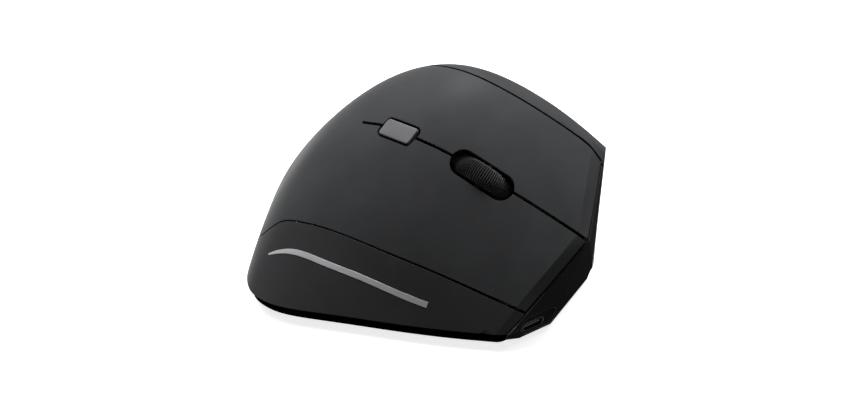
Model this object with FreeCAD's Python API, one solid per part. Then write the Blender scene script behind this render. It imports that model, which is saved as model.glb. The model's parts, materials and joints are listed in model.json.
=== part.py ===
import FreeCAD, Part
import os
from math import sin, cos, radians, degrees, atan2
from FreeCAD import Vector, Matrix, Placement, Rotation

os.makedirs("parts", exist_ok=True)

# The mouse stands with its base on z = 0.  +Y is forward, towards the front ends of the
# keys, +X is the fingers' side and -X is the thumb's side.  Every length is in millimetres.

# Outer form.  Each station is one arch of the body, seen from behind, from the foot on the
# fingers' side over the crest to the foot on the thumb's side.  The arches stand upright at the
# front and lean back towards the rear, like the bows of a hood, and the last one lies flat.
FOOT_Z = -6.0
# y and lean of the arch, foot x and rise angle, length of its handle, length, x and height of
# the crest, its tilt, length of its thumb handle, pull of the scoop, x of the thumb foot
STATIONS = [
    [62.0, 0.0, 23.5, 66.1, 21.0, 23.2, -24.0, 54.2, 23.9, 11.0, -26.0, 20.0, -38.0],
    [44.0, 0.0, 26.0, 66.2, 21.0, 26.9, -27.9, 65.2, 16.3, 9.5, -18.0, 20.0, -40.0],
    [24.0, 0.0, 31.0, 66.0, 28.5, 30.0, -30.0, 74.0, 10.5, 11.0, -14.0, 20.0, -42.0],
    [4.0, 3.0, 35.0, 66.0, 32.0, 32.0, -30.0, 78.4, 3.5, 11.0, -12.0, 20.0, -43.0],
    [-12.0, 12.0, 38.0, 66.0, 33.5, 32.0, -28.0, 69.6, 1.0, 11.0, -14.0, 20.0, -42.0],
    [-24.0, 26.0, 41.0, 68.0, 31.0, 26.7, -18.5, 53.8, 0.5, 13.0, -28.0, 22.0, -39.0],
    [-32.0, 44.0, 43.5, 72.0, 21.5, 26.0, -9.0, 38.4, 7.0, 18.0, -33.0, 18.0, -36.0],
    [-37.0, 64.0, 43.0, 78.0, 14.0, 27.0, 0.0, 25.5, 2.0, 20.0, -33.0, 12.0, -34.0],
    [-40.0, 90.0, 39.5, 84.0, 12.5, 24.5, 2.0, 21.5, 0.0, 22.0, -32.0, 8.0, -33.0],
]
STEPS = 8
WALL = 2.0

# Corners of the faceted nose and of the bevels along the front ends of the keys
TIP = Vector(-2.3, 57.7, 33.2)
TOP_CORNER = Vector(-26.5, 53.9, 54.5)
KEY_CORNER = Vector(16.3, 43.5, 12.2)
LEFT_FOOT = Vector(-31.4, 49.9, 2.0)
MIDDLE_FOOT = Vector(4.7, 47.8, 2.0)
UPPER_CREASE = [Vector(-22.6, 50.4, 54.2), Vector(-2.3, 53.8, 36.2)]
LOWER_CREASE = [Vector(-0.5, 53.6, 34.3), Vector(17.0, 40.3, 14.2), Vector(22.7, 35.5, 5.6)]
RIGHT_FOOT = Vector(22.9, 38.0, 2.7)
CREASE_LOOK = Vector(0.792, 0.343, 0.506)
BEVEL_STEPS = 8
LOWER_START = 0.25

# Seams between the covers, as points near the surface, and the widths of the gaps.  The lower
# seam is widest at the front of the key, where the key moves most.
TOP_SEAM = [Vector(-18.7, 62.0, 47.0), Vector(-21.5, 55.0, 51.2), Vector(-23.3, 50.3, 54.8), Vector(-24.1, 44.0, 58.1),
            Vector(-24.5, 35.0, 62.3), Vector(-24.8, 25.0, 66.6), Vector(-25.1, 14.0, 70.4), Vector(-26.2, 3.0, 72.3),
            Vector(-27.9, -5.2, 71.7), Vector(-30.6, -13.0, 69.0), Vector(-32.8, -22.0, 63.5), Vector(-32.6, -32.0, 55.0),
            Vector(-29.5, -41.0, 45.0), Vector(-24.5, -49.0, 33.0), Vector(-20.0, -54.5, 21.0), Vector(-17.0, -57.5, 10.0),
            Vector(-15.5, -58.5, 0.0)]
LOW_SEAM = [Vector(16.2, 49.0, 10.0), Vector(17.1, 43.7, 12.4), Vector(18.8, 27.6, 17.7), Vector(20.2, 11.0, 22.7),
            Vector(20.6, -4.7, 26.1), Vector(19.4, -22.8, 28.7), Vector(18.5, -32.1, 28.9), Vector(17.4, -39.0, 28.0),
            Vector(15.7, -47.2, 24.0), Vector(15.0, -51.5, 19.3), Vector(10.0, -56.0, 13.5), Vector(1.0, -58.5, 10.5),
            Vector(-8.0, -59.2, 9.5), Vector(-18.0, -57.5, 9.5), Vector(-22.0, -55.5, 9.5)]
SLIT_LINE = [Vector(-7.5, -25.5, 56.1), Vector(-5.3, -17.3, 57.8), Vector(-3.3, -9.5, 58.1), Vector(-1.8, -3.0, 57.5),
             Vector(-1.1, 4.0, 56.2), Vector(-0.9, 14.0, 52.8), Vector(-1.0, 30.0, 46.0), Vector(-1.3, 45.0, 39.2),
             Vector(-1.5, 62.0, 31.0)]
STRIP_LINE = [Vector(23.2, -46.4, 16.4), Vector(23.9, -41.5, 19.2), Vector(24.2, -37.7, 20.3),
              Vector(24.8, -32.0, 20.6), Vector(25.4, -24.6, 19.7), Vector(25.7, -11.2, 17.6),
              Vector(25.7, 1.8, 14.7), Vector(25.1, 12.2, 12.4)]
TOP_GAP = 0.65
LOW_GAP = [0.95, 0.95, 0.85, 0.7, 0.6, 0.5]
SLIT = 1.0
FRONT_GAP = 1.0
KEY_TOP = Vector(-22.1, 54.5, 50.7)
KEY_ROOT_Y = -22.0
STRIP_WIDTH = 2.0
STRIP_TAIL = 0.7
STRIP_TAPER = 0.25
STRIP_STEPS = 24
STRIP_DEPTH = 0.9
STRIP_RISE = 0.08

# Base tray, its rim under the skirt of the covers, and the glide feet
SKIRT_Z = 5.5
NOSE_LIP_Z = 2.0
FOOT_HEIGHT = 0.6
FOOT_SINK = 0.4
TRAY_INSET = 1.6
TRAY_FIT = 0.05
TRAY_WALL = 1.8
TRAY_FLOOR = 1.8
TRAY_CHAMFER = 1.2
TRAY_CORNER = [Vector(20.8, 35.6, 0), Vector(16.6, 41.4, 0)]
FEET = [(-18.0, 38.0, 20.0, 5.0, 0.0), (8.0, 33.5, 14.0, 5.0, -22.0), (-16.0, -42.0, 16.0, 5.0, 35.0),
        (19.0, -44.0, 18.0, 5.0, -30.0), (0.0, 0.0, 18.0, 5.0, 90.0)]

# Scroll wheel, in a frame on the keys' face: x across the slit, y forward, z outwards
WHEEL_SPOT = Vector(-0.4, 20.6, 49.9)
WHEEL_ROLL = Vector(0.0, 0.908, -0.419)
WHEEL_RADIUS = 12.0
WHEEL_PROUD = 2.0
TYRE_WIDTH = 7.0
TYRE_THICKNESS = 2.2
TYRE_CROWN = 1.6
TYRE_FIT = 0.02
SLOT_LENGTH = 23.5
SLOT_WIDTH = 9.2
AXLE_RADIUS = 1.25
AXLE_FIT = 0.05
AXLE_REACH = 9.2
CARRIER_GAP = 0.9
CARRIER_WALL = 1.3
CARRIER_DROP = 4.2
PIVOT_Y = -17.5
PIVOT_RADIUS = 1.0
WHEEL_TRAVEL = 0.5
STRIKER_SLACK = 0.14

# Boards
BOARD = 1.2
KEY_BOARD_DEPTH = 18.0
KEY_BOARD_RIGHT = 13.0
BOARD_CLEAR = 0.3
KEY_BOARD_Y = (-21.0, 29.5)
BOARD_WINDOW = Vector(9.6, 21.0, 0)
THUMB_BOARD_X = -22.4
THUMB_BOARD_Z = (38.0, 58.0)
THUMB_BOARD_Y = (-6.0, 33.0)
MAIN_BOARD_Z = 4.2
MAIN_BOARD_X = (0.0, 27.0)
MAIN_BOARD_Y = (-20.0, 41.0)
STANDOFFS = [(3.0, -16.0), (24.0, -16.0), (3.0, 24.0), (19.0, 24.0)]
STANDOFF_RADIUS = 1.8

# Key switches and their plungers
SWITCH = Vector(5.8, 12.8, 6.5)
SWITCH_Y = 22.5
SWITCH_X = (-4.8, 8.2)
WHEEL_SWITCH = (1.1, 19.6)
PLUNGER = Vector(1.2, 2.8, 1.0)
PLUNGER_SHIFT = 3.0
PLUNGER_FIT = 0.05
KEY_TRAVEL_DEG = 0.45
PUSHER = Vector(2.4, 3.4, 0)
PUSHER_SINK = 1.4
PUSHER_GAP = 0.1

# Small switches under the wheel and the side buttons
TACT = Vector(5.6, 5.6, 2.6)
TACT_DOME_RADIUS = 1.6
TACT_DOME = 0.7
BUTTON_TRAVEL = 0.5
BUTTON_SLACK = 0.08

# Resolution button between the keys
DPI_SPOT = Vector(-3.6, -10.4, 57.6)
DPI_LENGTH = 12.4
DPI_WIDTH = 6.0
DPI_SKEW = 1.3
DPI_CORNER = 1.2
DPI_PROUD = 0.3
DPI_THICK = 3.0
DPI_GAP = 0.85
DPI_LINE = Vector(3.0, 12.0, -0.2)
DPI_BOARD_DEPTH = 9.5
DPI_BOARD = Vector(8.0, 9.0, 0)
DPI_STEM = 1.4

# Forward and back buttons on the thumb side
THUMB_SPOTS = [Vector(-32.5, 23.0, 51.5), Vector(-32.5, 1.5, 53.5)]
THUMB_LENGTH = 19.0
THUMB_WIDTH = 7.0
THUMB_PROUD = 1.2
THUMB_GAP = 0.35

# Charging socket in the swept face of the nose, from its lower corner
PORT = (7.2, 2.5)
RECESS = (5.6, 4.15)
RECESS_LENGTH = 15.3
RECESS_HEIGHT = 6.8
RECESS_DEPTH = 1.0
SOCKET_LENGTH = 8.94
SOCKET_HEIGHT = 3.26
SOCKET_DEPTH = 7.3
SOCKET_WALL = 0.3
SOCKET_FIT = 0.1
SOCKET_TONGUE = 0.7

# Optical sensor over its window in the tray, battery, power switch and screws
SENSOR = Vector(12.0, 8.0, 0)
SENSOR_SIZE = Vector(10.0, 11.0, 2.2)
LENS_SIZE = Vector(14.0, 18.0, 0)
LENS_WINDOW = Vector(8.0, 12.0, 0)
LENS_FIT = 0.1
LENS_SINK = 0.6
BATTERY = [(2.0, 27.0), (-47.0, -24.0), (2.4, 8.4)]
BATTERY_WALL = 1.2
POWER_SPOT = Vector(-17.0, -12.0, 0)
POWER_BODY = Vector(6.0, 11.0, 3.6)
POWER_KNOB = Vector(3.0, 3.2, 0)
POWER_TRAVEL = 2.5
SCREWS = [(-19.0, -24.0), (-6.5, -24.0), (-19.0, 27.0), (-6.5, 27.0)]
SCREW_RADIUS = 1.0
SCREW_LENGTH = 7.0
SCREW_HEAD = (1.9, 1.0)
SCREW_FIT = 0.1
POST_RADIUS = 3.0
POST_HEIGHT = 9.0

# Frame inside the covers
SPINE_X = (-13.2, -10.8)
FRAME_Y = (-28.0, 34.0)
SPINE_STEP_Y = -5.0
WEBS = [(-34.5, -32.5), (-9.5, -7.5), (30.5, 32.5)]
FLANGE_X = (-22.4, -3.0)
FLANGE = 1.6
TOWER_X = (-21.2, -19.9)
TOWER_Z = 41.5

# Larger than the whole mouse, for cutting tools only
FAR = 200.0


def bezier(points, t):
    while len(points) > 1:
        points = [a + (b - a) * t for a, b in zip(points[:-1], points[1:])]
    return points[0]


def arch(station):
    (y, lean, foot_x, rise, foot_pull, crest_pull, crest_x, crest_h, crest_tilt,
     thumb_pull, scoop_x, scoop_h, thumb_x) = station
    rise, crest_tilt, lean = radians(rise), radians(crest_tilt), radians(lean)
    crest = Vector(crest_x, crest_h)
    fingers = [Vector(foot_x, 0), Vector(foot_x - foot_pull * cos(rise), foot_pull * sin(rise)),
               crest + Vector(cos(crest_tilt), -sin(crest_tilt)) * crest_pull, crest]
    thumb = [crest, crest + Vector(-cos(crest_tilt), sin(crest_tilt)) * thumb_pull,
             Vector(scoop_x, scoop_h), Vector(thumb_x, 0)]
    flat = [bezier(fingers, i / STEPS) for i in range(STEPS)]
    flat += [bezier(thumb, i / STEPS) for i in range(STEPS + 1)]
    return [Vector(p.x, y - p.y * sin(lean), FOOT_Z + p.y * cos(lean)) for p in flat]


def chords(rows):
    """Parameters of the rows, from 0 to 1, by the mean distance from one row to the next."""
    steps = [sum((q - p).Length for p, q in zip(a, b)) for a, b in zip(rows[:-1], rows[1:])]
    return [sum(steps[:i]) / sum(steps) for i in range(len(rows))]


def basis(i, degree, knots, t):
    """Value at t of one B-spline basis function."""
    if degree == 0:
        return 1.0 if knots[i] <= t < knots[i + 1] or (t == knots[i + 1] == knots[-1] > knots[i]) else 0.0
    value = 0.0
    if knots[i + degree] > knots[i]:
        value += (t - knots[i]) / (knots[i + degree] - knots[i]) * basis(i, degree - 1, knots, t)
    if knots[i + degree + 1] > knots[i + 1]:
        rest = knots[i + degree + 1] - t
        value += rest / (knots[i + degree + 1] - knots[i + 1]) * basis(i + 1, degree - 1, knots, t)
    return value


def knot_row(params):
    return [params[0]] * 4 + params[2:-2] + [params[-1]] * 4


def through(rows, params):
    """Rows of poles whose cubic spline passes through the given rows of points."""
    knots = knot_row(params)
    size = len(rows)
    weights = [[basis(c, 3, knots, t) for c in range(size)] for t in params]
    poles = [list(row) for row in rows]
    for pivot in range(size):
        for r in range(size):
            if r != pivot and weights[r][pivot]:
                factor = weights[r][pivot] / weights[pivot][pivot]
                weights[r] = [w - factor * v for w, v in zip(weights[r], weights[pivot])]
                poles[r] = [p - q * factor for p, q in zip(poles[r], poles[pivot])]
    return [[p / weights[r][r] for p in poles[r]] for r in range(size)]


def skin(rows):
    """Smooth surface through a grid of points."""
    columns = [list(c) for c in zip(*rows)]
    u, v = chords(rows), chords(columns)
    poles = through(rows, u)
    poles = list(zip(*through([list(c) for c in zip(*poles)], v)))
    surface = Part.BSplineSurface()
    surface.buildFromPolesMultsKnots(poles, [4] + [1] * (len(u) - 4) + [4], [4] + [1] * (len(v) - 4) + [4],
                                     [u[0]] + u[2:-2] + [u[-1]], [v[0]] + v[2:-2] + [v[-1]], False, False, 3, 3)
    return surface


def dome(rows):
    """Closed solid under the surface through the rows, with a flat foot and a flat front."""
    roof = skin(rows).toShape()
    front = min(roof.Edges, key=lambda e: abs(e.CenterOfMass.y - rows[0][0].y))
    foot = [e for e in roof.Edges if not e.isSame(front)]
    sill = Part.makeLine(rows[0][0], rows[0][-1])
    floor = Part.Face(Part.Wire(Part.__sortEdges__(foot + [sill])))
    gable = Part.Face(Part.Wire(Part.__sortEdges__([front, sill])))
    shell = Part.Shell([roof, floor, gable])
    shell.sewShape()
    solid = Part.Solid(shell)
    if solid.Volume < 0:
        solid.reverse()
    return solid


def pushed(rows, depth):
    """The rows moved inwards by a depth along the surface; the foot and the front stay in their planes."""
    last, side = len(rows) - 1, len(rows[0]) - 1
    rim = [(i, 0) for i in range(last)] + [(last, j) for j in range(side)]
    rim += [(i, side) for i in range(last, -1, -1)]
    result = [list(row) for row in rows]
    for i in range(last):
        for j in range(1, side):
            along = rows[i + 1][j] - rows[max(i - 1, 0)][j]
            normal = (rows[i][j + 1] - rows[i][j - 1]).cross(along)
            if i == 0:
                normal.y = 0.0
            result[i][j] = rows[i][j] - normal.normalize() * depth
    for k, (i, j) in enumerate(rim):
        (a, b), (c, d) = rim[max(k - 1, 0)], rim[min(k + 1, len(rim) - 1)]
        along = rows[c][d] - rows[a][b]
        normal = Vector(-along.y, 0.0 if i == 0 else along.x, 0.0)
        result[i][j] = rows[i][j] - normal.normalize() * depth
    return result


def beyond(a, b, c, shift=0.0, outwards=None):
    """Block on the outer side of the plane through three points, moved inwards by a shift."""
    normal = (b - a).cross(c - a).normalize()
    if normal.dot(outwards or a) < 0:
        normal = normal * -1
    block = Part.makeBox(2 * FAR, 2 * FAR, FAR, Vector(-FAR, -FAR, 0))
    block.Placement = Placement(a - normal * shift, Rotation(Vector(0, 0, 1), normal))
    return block


def blade(points, widths, out, deep):
    """Thin wall that stands on the outer surface along a line of points near it."""
    feet, normals = [], []
    for p in points:
        u, v = surface.parameter(p)
        feet.append(surface.value(u, v))
        normals.append(surface.normal(u, v) * -1)
    rings = []
    last = len(feet) - 1
    for i, (foot, normal) in enumerate(zip(feet, normals)):
        across = normal.cross(feet[min(i + 1, last)] - feet[max(i - 1, 0)]).normalize()
        half = widths[min(i, len(widths) - 1)] / 2
        ring = [foot + normal * height + across * side
                for height, side in ((out, half), (-deep, half), (-deep, -half), (out, -half))]
        rings.append(Part.makePolygon(ring + ring[:1]))
    return Part.makeLoft(rings, True, False)


def strip_blade():
    """The accent strip, which narrows towards its rear end."""
    curve = Part.BSplineCurve()
    curve.interpolate(STRIP_LINE)
    points = curve.discretize(STRIP_STEPS)
    slim = [min(1.0, i / (STRIP_STEPS * STRIP_TAPER)) for i in range(STRIP_STEPS)]
    widths = [STRIP_TAIL + (STRIP_WIDTH - STRIP_TAIL) * sin(radians(90 * s)) for s in slim]
    return blade(points, widths, STRIP_RISE, STRIP_DEPTH)


def on_line(points, t):
    """Point at a share t of a line of points, which runs on straight past its ends."""
    lengths = [(b - a).Length for a, b in zip(points[:-1], points[1:])]
    left = t * sum(lengths)
    for i, length in enumerate(lengths):
        if left <= length or i == len(lengths) - 1:
            return points[i] + (points[i + 1] - points[i]) * (left / length)
        left -= length


def band(crease, front, before):
    """Bevel from a crease on the outer surface to a straight front edge, as feet, edges and normals.

    It runs on past its start by some steps, and past its end by two."""
    roof = surface.toShape()
    feet = []
    for i in range(BEVEL_STEPS + 1):
        chord = on_line(crease, i / BEVEL_STEPS)
        line = Part.makeLine(chord - CREASE_LOOK * 3, chord + CREASE_LOOK * 20)
        feet.append(line.distToShape(roof)[1][0][1])
    feet = [feet[0] + (feet[0] - feet[1]) * before] + feet + [feet[-1] * 3 - feet[-2] * 2]
    steps = [-before] + list(range(BEVEL_STEPS + 1)) + [BEVEL_STEPS + 2]
    edges = [on_line(front, i / BEVEL_STEPS) for i in steps]
    last = len(feet) - 1
    normals = []
    for i in range(last + 1):
        along = edges[min(i + 1, last)] - edges[max(i - 1, 0)]
        normal = along.cross(feet[i] - edges[i]).normalize()
        normals.append(normal if normal.dot(CREASE_LOOK) > 0 else normal * -1)
    return feet, edges, normals


def shaved(solid, bands, shift=0.0):
    """The solid without what stands above the bevels, which are moved inwards by a shift."""
    for feet, edges, normals in bands:
        rings = []
        for foot, edge, normal in zip(feet, edges, normals):
            across = foot - edge
            low = [edge - across * 1.5 - normal * shift, foot + across * 0.8 - normal * shift]
            ring = low + [low[1] + normal * 12, low[0] + normal * 12]
            rings.append(Part.makePolygon(ring + ring[:1]))
        solid = solid.cut(Part.makeLoft(rings, True, False))
    return solid


def lip(line, bands_normal, face):
    """Plane along a front edge that halves the angle between the bevel and the nose face."""
    normal = (face[1] - face[0]).cross(face[2] - face[0]).normalize()
    normal = normal * (1 if normal.y > 0 else -1)
    return line[0], line[1], line[1] - (normal + bands_normal) * FAR / 4


def above(plane, shift, x):
    """Everything above a lip plane between two limits along x."""
    return beyond(*plane, shift, upwards).common(box(x, (-FAR, FAR), (-FAR, FAR)))


def nearest(shape, point):
    """The solid of a shape that lies nearest to a point."""
    return min(shape.Solids, key=lambda s: s.distToShape(Part.Vertex(point))[0])


def box(x, y, z):
    """Box between three pairs of limits."""
    return Part.makeBox(x[1] - x[0], y[1] - y[0], z[1] - z[0], Vector(x[0], y[0], z[0]))


def block(centre, size):
    """Box about the middle of its foot."""
    return Part.makeBox(size.x, size.y, size.z, centre - Vector(size.x / 2, size.y / 2, 0))


def rod(radius, start, end):
    return Part.makeCylinder(radius, (end - start).Length, start, end - start)


def frame(origin, x, y, z, order="ZXY"):
    return Placement(origin, Rotation(x, y, z, order))


def face_frame(spot, forward):
    """Frame on the outer surface: z outwards, y as near as can be to forward."""
    u, v = surface.parameter(spot)
    out = surface.normal(u, v) * -1
    across = forward.cross(out).normalize()
    return frame(surface.value(u, v), across, out.cross(across), out)


def placed(shape, where):
    moved = shape.copy()
    moved.Placement = where.multiply(shape.Placement)
    return moved


def joined(shapes):
    shape = shapes[0]
    for other in shapes[1:]:
        shape = shape.fuse(other)
    return shape.removeSplitter()


def stadium(length, width, low, high, grow=0.0):
    """Prism with round ends, long along y."""
    r = width / 2 + grow
    half = (length - width) / 2
    parts = [box((-r, r), (-half, half), (low, high))]
    for end in (-half, half):
        parts.append(Part.makeCylinder(r, high - low, Vector(0, end, low)))
    return joined(parts)


def slanted(length, width, skew, corner, low, high, grow=0.0):
    """Prism over a parallelogram with rounded corners, long along y."""
    x, y, s = width / 2 - corner, length / 2 - corner, skew / 2
    points = [Vector(-x, y + s, low), Vector(x, y - s, low), Vector(x, -y - s, low), Vector(-x, -y + s, low)]
    flat = Part.Face(Part.makePolygon(points + points[:1]))
    return flat.makeOffset2D(corner + grow).extrude(Vector(0, 0, high - low))


def trimmed(solid, planes, shift=0.0):
    for plane in planes:
        solid = solid.cut(beyond(*plane, shift))
    return solid


def layer(low, high):
    """Everything between two heights."""
    return box((-FAR, FAR), (-FAR, FAR), (low, high))


rows = [arch(s) for s in STATIONS]
surface = skin(rows)
bevels = [band(UPPER_CREASE, [KEY_TOP, TIP], 2), band(LOWER_CREASE, [TIP, KEY_CORNER, RIGHT_FOOT], LOWER_START)]
faces = [(TIP, TOP_CORNER, LEFT_FOOT), (TIP, LEFT_FOOT, MIDDLE_FOOT), (TIP, MIDDLE_FOOT, KEY_CORNER)]
upper_lip = lip([KEY_TOP, TIP], bevels[0][2][BEVEL_STEPS // 2], faces[0])
lower_lip = lip([TIP, KEY_CORNER], bevels[1][2][BEVEL_STEPS // 2], faces[2])
corner = (TRAY_CORNER[0], TRAY_CORNER[1], TRAY_CORNER[1] + Vector(0, 0, FAR))
upwards = Vector(0.7, 0, 0.7)
wheel_frame = face_frame(WHEEL_SPOT, WHEEL_ROLL)
dpi_frame = face_frame(DPI_SPOT, DPI_LINE)
swept = (KEY_CORNER - TIP).cross(MIDDLE_FOOT - TIP).normalize()
swept = swept * (1 if swept.y > 0 else -1)
level = Vector(swept.y, -swept.x, 0).normalize()
port_frame = frame(MIDDLE_FOOT, level.cross(swept), level, swept, "ZYX")


def covers():
    """The outer form cut into the six covers, each two millimetres thick."""
    outer = shaved(trimmed(dome(rows), faces).cut(layer(-FAR, NOSE_LIP_Z)), bevels)
    inner = shaved(dome(pushed(rows, WALL)), bevels, WALL)
    room = trimmed(inner, faces, WALL)
    top_knife = blade(TOP_SEAM, [TOP_GAP], 4.0, 5.0)
    low_knife = blade(LOW_SEAM, LOW_GAP, 4.0, 5.0)
    knives = joined([top_knife, blade(TOP_SEAM[:4], [TOP_GAP], 4.0, 7.0), low_knife])

    behind_nose = trimmed(box((-FAR, FAR), (-FAR, FAR), (-FAR, FAR)), faces, WALL)
    nose = outer.cut(behind_nose).common(box((TOP_CORNER.x, FAR), (-FAR, FAR), (-FAR, FAR)))
    nose = nose.cut(above(upper_lip, 0.0, (-FAR, TIP.x))).cut(above(lower_lip, 0.0, (TIP.x, FAR)))
    nose_cap = nose.cut(above(upper_lip, FRONT_GAP / 2, (KEY_TOP.x, TIP.x)))
    nose_cap = nose_cap.cut(above(lower_lip, FRONT_GAP / 2, (TIP.x, FAR)))
    chin = plan(TRAY_INSET, NOSE_LIP_Z, SKIRT_Z, False).cut(beyond(*corner))
    nose_cap = joined([nose_cap.cut(layer(-FAR, SKIRT_Z)), nose_cap.common(chin)])

    rest = outer.cut(room).cut(nose).cut(layer(-FAR, SKIRT_Z)).cut(knives)
    thumb_shell = nearest(rest, Vector(-31, 20, 30))
    side_panel = nearest(rest, Vector(30, 0, 12))

    fingers = outer.cut(inner).cut(layer(-FAR, SKIRT_Z)).cut(knives)
    fingers = nearest(fingers, Vector(0, -40, 40)).cut(blade(SLIT_LINE, [SLIT], 4.0, 5.0))
    behind = box((-FAR, FAR), (-FAR, KEY_ROOT_Y), (-FAR, FAR))
    palm_cover = fingers.common(behind)
    keys = fingers.cut(behind)
    upper_key = nearest(keys, Vector(-14, 30, 57)).common(beyond(*upper_lip, -FRONT_GAP / 2, upwards))
    lower_key = nearest(keys, Vector(12, 20, 35)).common(beyond(*lower_lip, -FRONT_GAP / 2, upwards))
    return outer, inner, room, nose_cap, thumb_shell, side_panel, palm_cover, upper_key, lower_key


def openings(nose_cap, thumb_shell, side_panel, upper_key, lower_key, outer):
    """Cuts for the wheel, the buttons, the strip and the socket; pushers under the keys."""
    slot = placed(stadium(SLOT_LENGTH, SLOT_WIDTH, -8, 8), wheel_frame)
    dpi_hole = placed(slanted(DPI_LENGTH, DPI_WIDTH, DPI_SKEW, DPI_CORNER, -8, 8, DPI_GAP), dpi_frame)
    keys = []
    for key, x in ((upper_key, SWITCH_X[0]), (lower_key, SWITCH_X[1])):
        low = plunger_top() + PUSHER_GAP
        size = PUSHER + Vector(0, 0, -PUSHER_SINK - low)
        pusher = placed(block(Vector(x, SWITCH_Y + PLUNGER_SHIFT, low), size), wheel_frame)
        keys.append(joined([key.cut(slot).cut(dpi_hole), pusher.common(outer)]))
    for spot in THUMB_SPOTS:
        hole = stadium(THUMB_LENGTH, THUMB_WIDTH, -8, 8, THUMB_GAP)
        thumb_shell = thumb_shell.cut(placed(hole, thumb_frame(spot)))
    side_panel = side_panel.cut(strip)
    recess = stadium(RECESS_LENGTH, RECESS_HEIGHT, -RECESS_DEPTH, 5.0)
    nose_cap = nose_cap.cut(placed(recess, port_frame.multiply(Placement(at_port(RECESS), Rotation()))))
    nose_cap = nose_cap.cut(socket_body(SOCKET_FIT, 4.0))
    return keys + [nose_cap, thumb_shell, side_panel]


def plunger_top():
    return SWITCH.z - KEY_BOARD_DEPTH + PLUNGER.z


def thumb_frame(spot):
    return face_frame(spot, Vector(0, 1, 0))


def at_port(spot):
    """Point of the swept nose face: along its level direction and up its slope."""
    return Vector(spot[1], spot[0], 0)


def socket_frame():
    """Frame in the mouth of the socket: y level along the face, z out of the socket."""
    mouth = port_frame.multVec(at_port(PORT)) - swept * RECESS_DEPTH
    out = Vector(swept.x, swept.y, 0).normalize()
    return frame(mouth, level.cross(out), level, out, "ZYX")


def socket_body(grow=0.0, reach=0.0, length=SOCKET_LENGTH, height=SOCKET_HEIGHT, start=-SOCKET_DEPTH):
    return placed(stadium(length, height, start - grow, reach, grow), socket_frame())


def thumb_buttons():
    raised = dome(pushed(rows, -THUMB_PROUD))
    seat = dome(pushed(rows, WALL + THUMB_GAP))
    back = dome(pushed(rows, WALL + THUMB_GAP + 1.1))
    buttons = []
    for spot in THUMB_SPOTS:
        where = thumb_frame(spot)
        cap = placed(stadium(THUMB_LENGTH, THUMB_WIDTH, -8, 8), where).common(raised)
        rim = placed(stadium(THUMB_LENGTH, THUMB_WIDTH, -8, 8, 1.2), where).common(seat)
        cap = cap.fuse(rim).cut(back)
        foot = where.multVec(Vector(0, 0, -2.6))
        tip = THUMB_BOARD_X - TACT.z - TACT_DOME - BUTTON_TRAVEL - BUTTON_SLACK
        stem = box((tip - 3.0, tip), (spot.y - 1.3, spot.y + 1.3), (foot.z - 1.3, foot.z + 1.3))
        buttons.append(joined([cap, stem]))
    return buttons


def tact(where):
    """Small switch on the plane z = 0 of a frame, its dome upwards."""
    body = block(Vector(0, 0, 0), TACT)
    dome_part = Part.makeCylinder(TACT_DOME_RADIUS, TACT_DOME, Vector(0, 0, TACT.z))
    return placed(joined([body, dome_part]), where)


def lifted(where, x, y, z):
    return where.multiply(Placement(Vector(x, y, z), Rotation()))


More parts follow.
